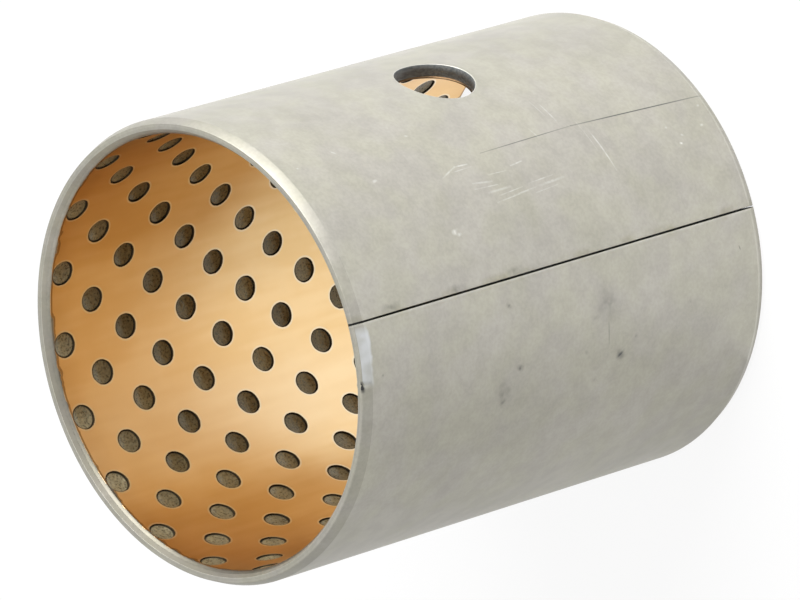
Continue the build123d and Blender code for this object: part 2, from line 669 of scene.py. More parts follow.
def build_shell(sleeve, plugs, layout):
    """Corners and faces of the steel shell, with the plugs' blind pockets in its seat."""
    shape = Shape()
    seat_radius, tip, slope = lining_edge(sleeve)
    middle = sleeve.length / 2
    wall_half = middle - sleeve.outer_chamfer_length - CHAMFER_BLEND
    stretch = wall_half / (layout.rows[-1] - middle)
    outer_rows = [middle + (height - middle) * stretch for height in layout.rows]

    def roll(arc, share):
        """How far the joint's rolled edge drops the outside."""
        from_joint = min(arc, layout.circumference - arc) - sleeve.joint_gap / 2
        if from_joint >= sleeve.joint_roll:
            return 0.0
        size = sleeve.joint_roll
        drop = size - sqrt(size**2 - (size - max(from_joint, 0.0)) ** 2)
        return drop * share**3

    def outside_damage(arc, height, radius=sleeve.outer_radius):
        """How far the outside lies below its true radius: most outside, none at the seat."""
        share = max(0.0, (radius - seat_radius) / (sleeve.outer_radius - seat_radius))
        angle = layout.angle(arc)
        spot = Vector((cos(angle) * 2.2, sin(angle) * 2.2, height * 45))
        wave = WAVE_DEPTH * (1 + noise.noise(spot)) / 2
        dent = edge_damage(remainder(arc, layout.circumference), sleeve.length - height)
        return roll(arc, share) + dent * share + wave * share

    seat = Wall(shape, layout, seat_radius, layout.rows, False)
    outside = Wall(shape, layout, sleeve.outer_radius, outer_rows, True, outside_damage)
    shape.skin(seat.grid, layout.windows)
    shape.skin(outside.grid, [layout.hole_window])
    corners = [
        (seat_radius, tip),
        (sleeve.bore_radius + sleeve.bore_chamfer_height, 0.0),
        (sleeve.outer_radius - sleeve.outer_chamfer_height, 0.0),
        (sleeve.outer_radius, sleeve.outer_chamfer_length),
        (sleeve.outer_radius, outer_rows[0]),
    ]
    line = rounded(corners, EDGE_RADII)[:-1]
    line.insert(1, (seat_radius + EDGE_ROW, tip - EDGE_ROW * slope))
    join_walls(shape, layout, seat, outside, line, outside_damage)

    pocket_radius = plugs.radius + plugs.clearance
    for angle, height, window in layout.pockets:
        pocket = Hole(seat, window, angle, height, pocket_radius)
        pocket.bottom(pocket.cut(seat, steps=()), sleeve.bore_radius + plugs.pocket_depth)

    hole = Hole(seat, layout.hole_window, 0.0, sleeve.lube_hole_height, sleeve.lube_hole_radius)
    rim = hole.cut(outside, sleeve.lube_hole_edge)
    rim = hole.round_over(rim, sleeve.outer_radius - WAVE_DEPTH / 2, sleeve.lube_hole_edge, -1)
    shape.strip(rim, hole.cut(seat), closed=True)
    return shape


def build_plug(shape, sleeve, plugs, angle, height, rng):
    """Adds one plug: a dished, grainy face, a round side and a flat back."""
    out = at(angle, 1, 0)
    across = Vector((-sin(angle), cos(angle), 0))
    up = Vector((0, 0, 1))
    lean = rng.uniform(-PLUG_LEAN, PLUG_LEAN)
    tilt = rng.uniform(-PLUG_LEAN, PLUG_LEAN)
    dish = plugs.dish * rng.uniform(*DISH_RANGE)
    seed = rng.uniform(0, 100)

    def corner(reach, turn, depth):
        """A corner this far from the plug's axis and this deep below the bore."""
        side, rise = reach * cos(turn), reach * sin(turn)
        place = out * (sleeve.bore_radius + depth) + across * side + up * (height + rise)
        return shape.corner(place)

    def face_depth(share, turn):
        """Depth of the face at this share of the plug's radius."""
        reach = plugs.radius * share
        spot = Vector((reach * cos(turn), reach * sin(turn), 0)) / MM
        grain = noise.noise(spot * 1.9 + Vector((0, 0, seed))) * FINE_GRAIN
        grain += noise.noise(spot * 0.7 + Vector((9, 0, seed))) * BROAD_GRAIN
        slope = (lean * spot.x + tilt * spot.y) * MM
        inside = min(1, 3 * (1 - share) + 0.4)
        return plugs.recess + dish * (1 - share**2) + (grain + slope) * inside

    turns = [tau * step / PLUG_STEPS for step in range(PLUG_STEPS)]
    rings = []
    for number in range(PLUG_RINGS, 0, -1):
        share = number / PLUG_RINGS
        reach = plugs.radius * share
        rings.append([corner(reach, turn, face_depth(share, turn)) for turn in turns])
        if len(rings) > 1:
            shape.strip(rings[-2], rings[-1], closed=True)
    shape.fan(rings[-1], corner(0, 0, plugs.recess + dish))
    side = [corner(plugs.radius, turn, plugs.recess + SIDE_TOP) for turn in turns]
    back = [corner(plugs.radius, turn, plugs.pocket_depth) for turn in turns]
    shape.strip(rings[0], side, closed=True)
    shape.strip(side, back, closed=True)
    shape.fan(back, corner(0, 0, plugs.pocket_depth))


# Shader nodes


class Value:
    """What a socket puts out. Sums, products and comparisons of it add further nodes."""

    def __init__(self, socket):
        self.socket = socket
        self.tree = socket.id_data

    def __add__(self, other):
        return maths("ADD", self, other)

    def __sub__(self, other):
        return maths("SUBTRACT", self, other)

    def __rsub__(self, other):
        return maths("SUBTRACT", other, self)

    def __mul__(self, other):
        return maths("MULTIPLY", self, other)

    def __truediv__(self, other):
        return maths("DIVIDE", self, other)

    def __rtruediv__(self, other):
        return maths("DIVIDE", other, self)

    def __lt__(self, other):
        return maths("LESS_THAN", self, other)

    def __gt__(self, other):
        return maths("GREATER_THAN", self, other)

    def __abs__(self):
        return maths("ABSOLUTE", self)


def feed(socket, value):
    """Sets an input, or feeds it from another node."""
    if isinstance(value, Value):
        value.tree.links.new(value.socket, socket)
    else:
        socket.default_value = value


def outputs(node):
    """A node's outputs, by name."""
    return {socket.name: Value(socket) for socket in node.outputs}


def add(tree, kind, inputs=None, **settings):
    """Adds a node, sets it, feeds its inputs and returns its outputs."""
    node = tree.nodes.new(kind)
    for name, value in settings.items():
        setattr(node, name, value)
    for name, value in (inputs or {}).items():
        feed(node.inputs[name], value)
    return outputs(node)


def first_value(values):
    """The first of some inputs that comes from a node."""
    return next(value for value in values if isinstance(value, Value))


def maths(operation, *values, clamp=False):
    """The result of a Math node, or of its like for vectors or colours."""
    source = first_value(values)
    inputs = dict(enumerate(values))
    if source.socket.type == "RGBA":
        return blend(1.0, *values, operation)
    if source.socket.type == "VECTOR":
        found = add(source.tree, "ShaderNodeVectorMath", inputs, operation=operation)
        return found["Value" if operation in ("DOT_PRODUCT", "LENGTH") else "Vector"]
    return add(source.tree, "ShaderNodeMath", inputs, operation=operation, use_clamp=clamp)["Value"]


def vector(x, y, z=0.0):
    """A vector of three numbers."""
    tree = first_value((x, y, z)).tree
    return add(tree, "ShaderNodeCombineXYZ", {"X": x, "Y": y, "Z": z})["Vector"]


def blend(share, first, second, kind="MIX"):
    """A mix of two colours."""
    node = first_value((share, first, second)).tree.nodes.new("ShaderNodeMix")
    node.data_type = "RGBA"
    node.blend_type = kind
    inputs = {socket.identifier: socket for socket in node.inputs}
    feed(inputs["Factor_Float"], share)
    feed(inputs["A_Color"], first)
    feed(inputs["B_Color"], second)
    return Value(next(s for s in node.outputs if s.identifier == "Result_Color"))


def tinted(base, share, tone):
    """A colour multiplied by a tone, over a share of the surface."""
    return blend(share, base, base * tone)


def fit_range(value, low, high, to_low=0.0, to_high=1.0, smooth=True):
    """A value carried from one range to another, and held there."""
    kind = "SMOOTHSTEP" if smooth else "LINEAR"
    inputs = {0: value, 1: low, 2: high, 3: to_low, 4: to_high}
    found = add(value.tree, "ShaderNodeMapRange", inputs, interpolation_type=kind, clamp=True)
    return found["Result"]


def between(value, low, high, soft):
    """1 where a value lies between low and high, fading to 0 over soft outside them."""
    return fit_range(value, low - soft, low) * fit_range(value, high, high + soft, 1.0, 0.0)


def cosine_of(angle, middle):
    """Cosine of how far an angle lies from a middle one, both in degrees."""
    return maths("COSINE", maths("RADIANS", angle - middle))


def node_group(name, inputs, results):
    """A new node group with these sockets, its inputs by name and its outputs' sockets."""
    tree = bpy.data.node_groups.new(name, "ShaderNodeTree")
    kinds = {1: "NodeSocketFloat", 3: "NodeSocketVector", 4: "NodeSocketColor"}
    for in_out, sockets in (("INPUT", inputs), ("OUTPUT", results)):
        for label, default in sockets.items():
            kind = kinds[len(default) if isinstance(default, tuple) else 1]
            socket = tree.interface.new_socket(label, in_out=in_out, socket_type=kind)
            socket.default_value = default
    given = add(tree, "NodeGroupInput")
    return tree, given, tree.nodes.new("NodeGroupOutput").inputs


def use(tree, name, **inputs):
    """Places a node group, and returns its outputs. An underscore stands for a space."""
    node = tree.nodes.new("ShaderNodeGroup")
    node.node_tree = bpy.data.node_groups[name]
    for label, value in inputs.items():
        feed(node.inputs[label.replace("_", " ")], value)
    return outputs(node)


def mottle(tree, size, detail=3.0, seed=0.0, stretch=1.0):
    """Soft blotches of about this size in millimetres."""
    return use(tree, "Mottle", Size=size, Detail=detail, Seed=seed, Stretch=stretch)["Value"]


def own_place(tree):
    """Place on the object, in its own metres."""
    return add(tree, "ShaderNodeTexCoord")["Object"]


# Node groups, which the finishes place and set

# Millimetres in a metre
TO_MM = 1000.0

# Radii at which one surface gives way to the next, in millimetres
BORE_CHAMFER_ENDS = 35.87
CHIP_BEGINS = 36.6
OUTER_CHAMFER_BEGINS = 36.82
DENT_BEGINS = 36.85
OUTSIDE_BEGINS = 37.0
CUT_FACE_ENDS = 37.42

# Half widths that count as the joint's gap, in millimetres
STEEL_GAP = 0.17
BRONZE_GAP = 0.06

# Added to the distance from a plug or a hole that isn't there, in millimetres
FAR_AWAY = 100.0


def make_round_place():
    """Where a point lies on the sleeve: angle in degrees, and the rest in millimetres."""
    tree, given, out = node_group(
        "Round Place",
        {"Outside": OUTER_RADIUS / MM, "Length": SLEEVE_LENGTH / MM, "Joint": -60.0},
        {
            "Angle": 0.0,
            "Height": 0.0,
            "Radius": 0.0,
            "From Joint": 0.0,
            "From Middle": 0.0,
            "Place": (0.0, 0.0, 0.0),
        },
    )
    place = own_place(tree)
    split = add(tree, "ShaderNodeSeparateXYZ", {0: place})
    turn = maths("ARCTAN2", split["Y"], split["X"])
    angle = maths("DEGREES", turn)
    radius = maths("LENGTH", place * (TO_MM, TO_MM, 0.0))
    height = split["Z"] * TO_MM
    from_joint = maths("WRAP", angle - given["Joint"], 180.0, -180.0)
    feed(out["Angle"], angle)
    feed(out["Height"], height)
    feed(out["Radius"], radius)
    feed(out["From Joint"], maths("RADIANS", from_joint) * radius)
    feed(out["From Middle"], abs(height - given["Length"] * 0.5))
    feed(out["Place"], vector(turn * given["Outside"], height))


def make_plug_place():
    """Distance from the middle of the nearest plug, and a number that differs by plug."""
    tree, given, out = node_group(
        "Plug Place",
        {
            "Bore": 35.0,
            "First": 9.0,
            "Pitch": 12.0,
            "Stagger": 6.0,
            "First Height": 86.0,
            "Ring Pitch": 6.6,
            "Joint Clear": 2.4,
            "Hole Arc": 36.7,
            "Hole Height": 44.0,
            "Hole Clear": 8.8,
        },
        {"Distance": 0.0, "Oval": 0.0, "Number": 0.0},
    )
    place = use(tree, "Round Place")
    down = given["First Height"] - place["Height"]
    ring = maths("ROUND", down / given["Ring Pitch"])
    rise = down - ring * given["Ring Pitch"]
    arc = place["From Joint"] * (given["Bore"] / place["Radius"])
    circumference = given["Bore"] * tau
    arc = maths("WRAP", arc, circumference, 0.0)
    along = arc - maths("MULTIPLY_ADD", ring, given["Stagger"], given["First"])
    turn = maths("ROUND", along / given["Pitch"])
    across = along - turn * given["Pitch"]

    # No plug stands close to the joint or to the lube hole
    centre = arc - across
    to_joint = maths("MINIMUM", centre, circumference - centre)
    by_joint = to_joint < given["Joint Clear"]
    level = place["Height"] + rise
    to_hole = maths("LENGTH", vector(centre - given["Hole Arc"], level - given["Hole Height"]))
    absent = maths("MAXIMUM", by_joint, to_hole < given["Hole Clear"]) * FAR_AWAY

    for name, stretch in (("Distance", 1.0), ("Oval", 0.93)):
        feed(out[name], maths("LENGTH", vector(across, rise * stretch)) + absent)
    feed(out["Number"], maths("MULTIPLY_ADD", ring, 31.0, turn))


def make_mottle():
    """Soft blotches, stretched round the sleeve by Stretch."""
    tree, given, out = node_group(
        "Mottle", {"Size": 4.0, "Stretch": 1.0, "Detail": 3.0, "Seed": 0.0}, {"Value": 0.0}
    )
    place = own_place(tree)
    scale = TO_MM / given["Size"]
    around = scale / given["Stretch"]
    placed = place * vector(around, around, scale)
    cloud = add(
        tree,
        "ShaderNodeTexNoise",
        {"Vector": placed, "W": given["Seed"], "Scale": 1.0, "Detail": given["Detail"]},
        noise_dimensions="4D",
    )
    feed(out["Value"], cloud["Fac"])


def make_mark():
    """A straight mark between two places outside: a scratch, or a spot if they meet."""
    _, given, out = node_group(
        "Mark",
        {"Place": (0.0, 0.0, 0.0), "From": (0.0, 0.0, 0.0), "To": (1.0, 0.0, 0.0), "Width": 0.1},
        {"Mask": 0.0},
    )
    along = given["To"] - given["From"]
    offset = given["Place"] - given["From"]
    dot = maths("DOT_PRODUCT", offset, along)
    share = maths("DIVIDE", dot, maths("DOT_PRODUCT", along, along), clamp=True)
    distance = maths("LENGTH", offset - along * vector(share, share, share))
    near = fit_range(distance, 0.0, given["Width"], 1.0, 0.0)
    from_middle = abs(maths("MULTIPLY_ADD", share, 2.0, -1.0))
    feed(out["Mask"], near * fit_range(from_middle, 0.2, 1.0, 1.0, 0.45))


def make_specks():
    """Scattered round specks: Share of the cells hold one."""
    tree, given, out = node_group(
        "Specks", {"Size": 2.0, "Radius": 0.2, "Share": 0.1}, {"Mask": 0.0}
    )
    place = own_place(tree)
    scale = TO_MM / given["Size"]
    cells = add(tree, "ShaderNodeTexVoronoi", {"Vector": place, "Scale": scale})
    near = fit_range(cells["Distance"], 0.0, given["Radius"], 1.0, 0.0)
    tone = add(tree, "ShaderNodeSeparateColor", {0: cells["Color"]})["Red"]
    feed(out["Mask"], near * (tone < given["Share"]))


def make_plating():
    """Colour and roughness of the dull plating, over the outside, the ends and the chamfers."""
    tree, given, out = node_group(
        "Plating",
        {
            "Colour": (0.4, 0.4, 0.35, 1.0),
            "Blotches": 1.0,
            "Bore Chamfer": 1.2,
            "Outer Chamfer": 1.7,
        },
        {"Colour": (0.4, 0.4, 0.35, 1.0), "Roughness": 0.45, "Grain": 0.5},
    )
    place = use(tree, "Round Place")
    broad = mottle(tree, 14.0, detail=2.0)
    tint = mottle(tree, 7.0, detail=2.0, seed=4.0)
    fine = mottle(tree, 0.6, detail=4.0, seed=8.0)
    cloud = mottle(tree, 3.2, seed=20.0)
    low = maths("MULTIPLY_ADD", given["Blotches"], -0.07, 1.0)
    high = maths("MULTIPLY_ADD", given["Blotches"], 0.07, 1.0)
    shade = fit_range(broad, 0.3, 0.7, low, high)
    grain = fit_range(fine, 0.35, 0.65, 0.95, 1.05)
    grain = grain * fit_range(cloud, 0.35, 0.65, 0.96, 1.04)
    base = given["Colour"] * (shade * grain)
    greenish = base * (1.0, 1.0, 0.94, 1)
    pinkish = base * (1.0, 0.99, 0.985, 1)
    base = blend(fit_range(tint, 0.35, 0.65), pinkish, greenish)

    # The outer chamfers: painted light makes the lower end paler and painted shade makes the upper
    # one darker
    middle = SLEEVE_LENGTH / MM / 2
    to_end = middle - place["From Middle"]
    outer = place["Radius"] > OUTER_CHAMFER_BEGINS
    on_outer = outer * (to_end < given["Outer Chamfer"])
    upper = place["Height"] > middle
    base = tinted(base, on_outer, maths("MULTIPLY_ADD", upper, -0.24, 1.12))

    # The bore's chamfers, with painted shade on one side
    inner = place["Radius"] < BORE_CHAMFER_ENDS
    on_inner = inner * (to_end < given["Bore Chamfer"] + 0.7)
    chamfer_shade = on_inner * fit_range(cosine_of(place["Angle"], 165.0), 0.1, 0.95)
    base = tinted(base, chamfer_shade, (0.45, 0.44, 0.42, 1))

    # Faint rings left by facing the ends
    lines = add(
        tree,
        "ShaderNodeTexNoise",
        {"W": place["Radius"] * 6.0, "Scale": 1.0, "Detail": 2.0},
        noise_dimensions="1D",
    )["Fac"]
    on_end = to_end < 0.06
    faced = base * fit_range(lines, 0.3, 0.7, 0.86, 1.04)
    feed(out["Colour"], blend(on_end, base, faced))
    rough = fit_range(fine, 0.25, 0.75, 0.43, 0.53)
    feed(out["Roughness"], maths("MULTIPLY_ADD", on_inner, 0.15, rough))
    feed(out["Grain"], maths("MULTIPLY_ADD", broad, 2.0, fine))


def make_node_groups():
    """Makes the node groups, once."""
    if "Round Place" in bpy.data.node_groups:
        return
    make_round_place()
    make_plug_place()
    make_mottle()
    make_mark()
    make_specks()
    make_plating()


# Finishes


def new_material(name):
    """A material, its nodes and its Principled shader."""
    material = bpy.data.materials.new(name)
    material.use_nodes = True
    tree = material.node_tree
    return material, tree, tree.nodes["Principled BSDF"]


def finish(shader, base, rough, metallic, bumps):
    """Wires a material's colour, roughness and bumps: (strength, depth, height)."""
    feed(shader.inputs["Base Color"], base)
    feed(shader.inputs["Roughness"], rough)
    shader.inputs["Metallic"].default_value = metallic
    inputs = dict(zip(("Strength", "Distance", "Height"), bumps))
    feed(shader.inputs["Normal"], add(shader.id_data, "ShaderNodeBump", inputs)["Normal"])


def plug_place(tree, sleeve, plugs):
    """The Plug Place group, set to this sleeve's plugs."""
    reach = plugs.radius + plugs.clearance + plugs.land
    return use(
        tree,
        "Plug Place",
        Bore=sleeve.bore_radius / MM,
        First=plugs.first_from_joint / MM,
        Pitch=plugs.pitch / MM,
        Stagger=plugs.stagger / MM,
        First_Height=(sleeve.length - plugs.first_ring) / MM,
        Ring_Pitch=plugs.ring_pitch / MM,
        Joint_Clear=(sleeve.joint_gap / 2 + reach) / MM,
        Hole_Arc=-sleeve.joint_angle * sleeve.bore_radius / MM,
        Hole_Height=sleeve.lube_hole_height / MM,
        Hole_Clear=(sleeve.lube_hole_radius + reach) / MM,
    )


def plating(tree, finishes, sleeve):
    """The Plating group, set to this sleeve's chamfers."""
    return use(
        tree,
        "Plating",
        Colour=(*finishes.steel, 1),
        Blotches=finishes.steel_mottle,
        Bore_Chamfer=sleeve.bore_chamfer_length / MM,
        Outer_Chamfer=sleeve.outer_chamfer_length / MM,
    )


def on_hole_wall(tree, sleeve, gap):
    """Mask of the lube hole's wall, full to gap outside its radius, and distance from its axis."""
    place = own_place(tree)
    across = place - (0.0, 0.0, sleeve.lube_hole_height)
    distance = maths("LENGTH", across * (0.0, TO_MM, TO_MM))
    rear = add(tree, "ShaderNodeSeparateXYZ", {0: place})["X"] < 0.0
    distance = maths("MULTIPLY_ADD", rear, FAR_AWAY, distance)
    hole_radius = sleeve.lube_hole_radius / MM
    wall = fit_range(distance, hole_radius + gap, hole_radius + 0.04, 1.0, 0.0)
    return wall, distance


# Marks on the outside, each from one (angle, height) to another, in degrees and millimetres,
# with its half width and its strength: above 0 for a pale scratch, below 0 for a dark mark

MARKS = [
    ((-30.4, 27.3), (-42.1, 26.4), 0.22, 0.5),
    ((-26.0, 28.6), (-36.0, 28.0), 0.12, 0.25),
    ((-19.4, 32.4), (-25.2, 32.0), 0.2, 0.4),
    ((-17.0, 33.8), (-23.0, 33.3), 0.12, 0.3),
    ((-25.4, 38.2), (-28.1, 37.7), 0.2, 0.4),
    ((-33.6, 46.5), (-33.2, 43.9), 0.2, 0.45),
    ((-34.5, 48.0), (-34.3, 52.0), 0.14, 0.3),
    ((-36.2, 51.9), (-35.4, 55.8), 0.28, 0.3),
    ((-37.4, 50.5), (-37.0, 56.0), 0.14, 0.35),
    ((-38.7, 48.9), (-38.8, 53.7), 0.34, 0.3),
    ((-39.6, 46.5), (-40.2, 52.0), 0.14, 0.35),
    ((-40.6, 44.0), (-41.0, 49.0), 0.14, 0.3),
    ((-40.9, 45.7), (-41.7, 53.0), 0.18, 0.35),
    ((-40.1, 37.6), (-40.5, 43.1), 0.34, 0.3),
    ((-38.8, 39.5), (-39.2, 45.0), 0.14, 0.35),
    ((-41.5, 39.5), (-42.0, 44.5), 0.14, 0.3),
    ((-29.9, 57.2), (-30.1, 54.5), 0.2, 0.5),
    ((-29.9, 57.2), (-31.9, 60.7), 0.22, 0.35),
    ((-31.0, 54.0), (-31.2, 58.5), 0.14, 0.3),
    ((-45.8, 64.3), (-45.7, 63.7), 0.65, 0.7),
    ((-46.6, 63.6), (-46.5, 63.1), 0.45, 0.5),
    ((-27.6, 73.2), (-27.9, 74.2), 0.4, 0.45),
    ((-38.1, 9.8), (-38.2, 9.6), 0.32, 0.7),
    ((-40.1, 10.9), (-40.2, 10.5), 0.3, 0.8),
    ((-35.2, 12.2), (-35.1, 11.9), 0.3, 0.45),
    ((-37.1, 4.8), (-37.0, 4.4), 0.3, 0.5),
    ((-31.9, 3.1), (-31.7, 2.8), 0.3, 0.5),
    ((-15.9, 76.8), (-16.9, 76.2), 0.3, 0.4),
    ((-17.5, 61.4), (-17.7, 61.0), 0.3, 0.4),
    ((-18.2, 85.3), (-18.4, 85.0), 0.3, 0.4),
    ((-86.0, 33.4), (-86.9, 33.0), 1.4, -0.85),
    ((-71.0, 36.6), (-74.5, 35.9), 3.2, -0.3),
    ((-77.4, 36.1), (-82.8, 36.0), 0.2, -0.3),
    ((-66.0, 57.6), (-66.6, 57.3), 0.6, -0.6),
    ((-81.8, 56.4), (-82.2, 55.6), 0.7, -0.7),
    ((-86.0, 59.6), (-88.6, 59.0), 2.2, -0.32),
    ((-82.9, 29.9), (-83.2, 29.8), 0.5, -0.5),
    ((-83.2, 41.1), (-83.6, 40.9), 0.5, -0.4),
    ((-89.5, 59.7), (-90.5, 59.2), 1.0, -0.35),
    ((-74.9, 39.1), (-75.6, 38.8), 1.0, -0.25),
    ((-91.0, 38.7), (-91.6, 38.4), 0.7, -0.4),
    ((-78.3, 17.5), (-78.5, 17.3), 0.5, -0.5),
    ((-68.4, 5.5), (-69.4, 5.3), 0.2, -0.45),
    ((-74.6, 88.7), (-74.4, 88.6), 0.35, -0.8),
    ((-73.8, 86.0), (-73.6, 85.9), 0.3, -0.7),
    ((-58.6, 83.4), (-58.8, 80.4), 1.0, -0.3),
    ((-58.7, 69.0), (-58.8, 66.0), 1.0, -0.35),
    ((-58.6, 55.8), (-58.8, 53.4), 1.0, -0.3),
    ((-28.2, 50.6), (-27.7, 30.0), 0.13, -0.6),
    ((-27.7, 30.0), (-29.4, 1.2), 0.16, -0.85),
]
# A dark mark narrower than this is a scored line, and a wider one is a smudge
NARROW = 0.25


def mark(tree, place, start, end, width):
    """Mask of a mark from one (degrees, millimetres) place on the outside to another."""
    first, last = (
        (radians(turn) * OUTER_RADIUS / MM, height, 0.0) for turn, height in (start, end)
    )
    return use(tree, "Mark", Place=place["Place"], From=first, To=last, Width=width)["Mask"]


def add_marks(tree, base, place, wear):
    """Lays the marks over a colour: pale scratches, dark lines and blotchy smudges."""
    ragged = fit_range(mottle(tree, 1.1, detail=4.0, seed=12.0), 0.3, 0.66, 0.15, 0.8)
    pale = lines = smudges = 0.0
    for start, end, width, strength in MARKS:
        mask = mark(tree, place, start, end, width)
        if strength > 0:
            pale = maths("MULTIPLY_ADD", mask, strength, pale)
        elif width < NARROW:
            lines = maths("MULTIPLY_ADD", mask, -strength, lines)
        else:
            smudges = maths("MULTIPLY_ADD", mask, -strength, smudges)
    outside = place["Radius"] > OUTSIDE_BEGINS
    pale = maths("MULTIPLY", pale * ragged, 0.75 * wear, clamp=True)
    patchy = fit_range(mottle(tree, 1.2, seed=13.0), 0.35, 0.65, 0.35, 1.0)
    dark = maths("MULTIPLY_ADD", smudges, patchy, lines)
    dark = maths("MULTIPLY", dark, 1.4 * wear, clamp=True)
    base = blend(pale * outside, base, (0.95, 0.95, 0.92, 1))
    return blend(dark * outside, base, (0.09, 0.09, 0.085, 1))


def steel_material(finishes, sleeve):
    """Dull plating over rolled steel, scratched and smudged, with painted shade inside the joint
    and beside it, and painted highlights.
    """
    material, tree, shader = new_material("Tin Plated Steel")
    place = use(tree, "Round Place", Joint=degrees(sleeve.joint_angle))
    plated = plating(tree, finishes, sleeve)
    base = add_marks(tree, plated["Colour"], place, finishes.wear)

    # Patchy painted shade in a band on one side of the joint, and a painted highlight along a line
    # on the other
    patches = mottle(tree, 3.0, detail=2.0, seed=16.0)
    beside = between(place["From Joint"], 0.1, 0.4, 1.3)
    shaded = beside * fit_range(patches, 0.4, 0.7, 0.0, 0.6)
    base = tinted(base, shaded, (0.75, 0.74, 0.62, 1))
    bright = between(place["From Joint"], -0.42, -0.3, 0.08)
    base = blend(bright * 0.1, base, (0.9, 0.9, 0.86, 1))

    # The bright dent and the dark chip in the upper edge
    dent_side = between(place["From Joint"], -8.6, -2.2, 2.0)
    wavy_height = maths("MULTIPLY_ADD", patches, 1.6, place["Height"])
    dented = dent_side * between(wavy_height, 88.9, 91.5, 0.5)
    dented = dented * (place["Radius"] > DENT_BEGINS)
    dented = dented * fit_range(patches, 0.3, 0.6, 0.45, 0.85)
    base = blend(dented, base, (0.51, 0.525, 0.535, 1))
    chip = mark(tree, place, (-74.4, 89.95), (-76.4, 89.8), 0.5)
    chip = chip * (place["Radius"] > CHIP_BEGINS)
    base = blend(maths("MULTIPLY", chip, 1.6, clamp=True), base, (0.03, 0.03, 0.03, 1))

    # The drilled wall of the lube hole, mottled and darkened with painted shade, and a painted
    # highlight round its rim
    wall, distance = on_hole_wall(tree, sleeve, 0.0)
    drilled = fit_range(mottle(tree, 1.2, seed=22.0, stretch=0.3), 0.35, 0.65)
    drilled = blend(drilled, (0.13, 0.14, 0.14, 1), (0.2, 0.21, 0.21, 1))
    base = blend(wall, base, drilled)
    hole_radius = sleeve.lube_hole_radius / MM
    rim = between(distance, hole_radius + 0.05, hole_radius + 0.11, 0.04)
    base = blend(rim * 0.3, base, (0.8, 0.8, 0.76, 1))

    # The joint's cut faces, near-black: painted shade inside the gap
    inside = abs(place["From Joint"]) < STEEL_GAP
    base = blend(inside * (place["Radius"] < CUT_FACE_ENDS), base, (0.02, 0.02, 0.018, 1))
    rough = maths("MULTIPLY_ADD", wall, 0.2, plated["Roughness"])
    finish(shader, base, rough, 0.75, (0.3, 0.02 * MM, plated["Grain"]))
    return material


def bronze_material(finishes, sleeve, plugs):
    """Satin bronze with faint streaks, painted light and shade, dark painted shade on the pocket
    walls and plating over the chamfers.
    """
    material, tree, shader = new_material("Turned Bronze")
    place = use(tree, "Round Place", Joint=degrees(sleeve.joint_angle))
    plated = plating(tree, finishes, sleeve)
    broad = mottle(tree, 12.0, seed=2.0)
    streaks = mottle(tree, 14.0, detail=1.0, seed=9.0, stretch=0.14)
    specks = use(tree, "Specks", Size=5.0, Radius=0.035, Share=0.2)["Mask"]
    deep = (*(c * k for c, k in zip(finishes.bronze, (0.96, 0.93, 0.88))), 1)
    pale = (*(min(1.0, c * k) for c, k in zip(finishes.bronze, (1.03, 1.05, 1.10))), 1)
    base = blend(fit_range(broad * 0.6 + streaks * 0.4, 0.38, 0.62), deep, pale)
    base = blend(specks * 0.6, base, (0.2, 0.12, 0.05, 1))

    # Painted light along one side and browner painted shade elsewhere, with a painted highlight in
    # a band within that side
    lit_side = between(place["Angle"], 98.0, 156.0, 14.0)
    base = blend(lit_side, base * (0.84, 0.77, 0.67, 1), base)
    bright = between(place["Angle"], 138.0, 148.0, 13.0)
    base = blend(bright * 0.3, base, (0.97, 0.80, 0.54, 1))

    # A pale ring of painted highlight round each pocket, and ragged painted shade over its rim and
    # wall
    from_plug = plug_place(tree, sleeve, plugs)["Oval"]
    pocket_radius = (plugs.radius + plugs.clearance) / MM
    halo = between(from_plug, pocket_radius + 0.08, pocket_radius + 0.25, 0.15)
    base = blend(halo * 0.5, base, (0.80, 0.75, 0.60, 1))
    rim_wobble = mottle(tree, 1.0, seed=7.0)
    rim = maths("MULTIPLY_ADD", rim_wobble, 0.2, pocket_radius - 0.08)
    pocket = fit_range(from_plug - rim, 0.0, 0.05, 1.0, 0.0)
    base = blend(pocket, base, (0.06, 0.047, 0.03, 1))

    # Painted shade towards the ends, a dark brown line, then the plating over the chamfers
    reach = fit_range(mottle(tree, 3.0, seed=6.0), 0.45, 0.7, 0.0, 0.55)
    chamfer_start = (sleeve.length / 2 - sleeve.bore_chamfer_length) / MM
    past = place["From Middle"] + reach - chamfer_start
    on_plating = fit_range(past, 0.0, 0.08)
    end_shade = fit_range(past, -6.0, 0.0, 0.0, 0.35)
    base = tinted(base, end_shade, (0.72, 0.62, 0.5, 1))
    brown_line = between(past, -0.3, -0.05, 0.12)
    base = blend(brown_line * 0.7, base, (0.22, 0.12, 0.05, 1))
    base = blend(on_plating, base, plated["Colour"])

    # Painted shade on the lube hole's wall, and near-black painted shade inside the joint
    wall, _ = on_hole_wall(tree, sleeve, 0.01)
    base = blend(wall, base, (0.12, 0.075, 0.04, 1))
    inside = abs(place["From Joint"]) < BRONZE_GAP
    base = blend(inside, base, (0.03, 0.025, 0.02, 1))
    satin = fit_range(broad, 0.3, 0.7, 0.29, 0.33)
    rough = maths("MULTIPLY_ADD", on_plating, 0.15, satin)
    rough = maths("MULTIPLY_ADD", pocket, 0.3, rough)
    finish(shader, base, rough, 1.0, (0.3 * finishes.bronze_marks, 0.01 * MM, streaks))
    return material


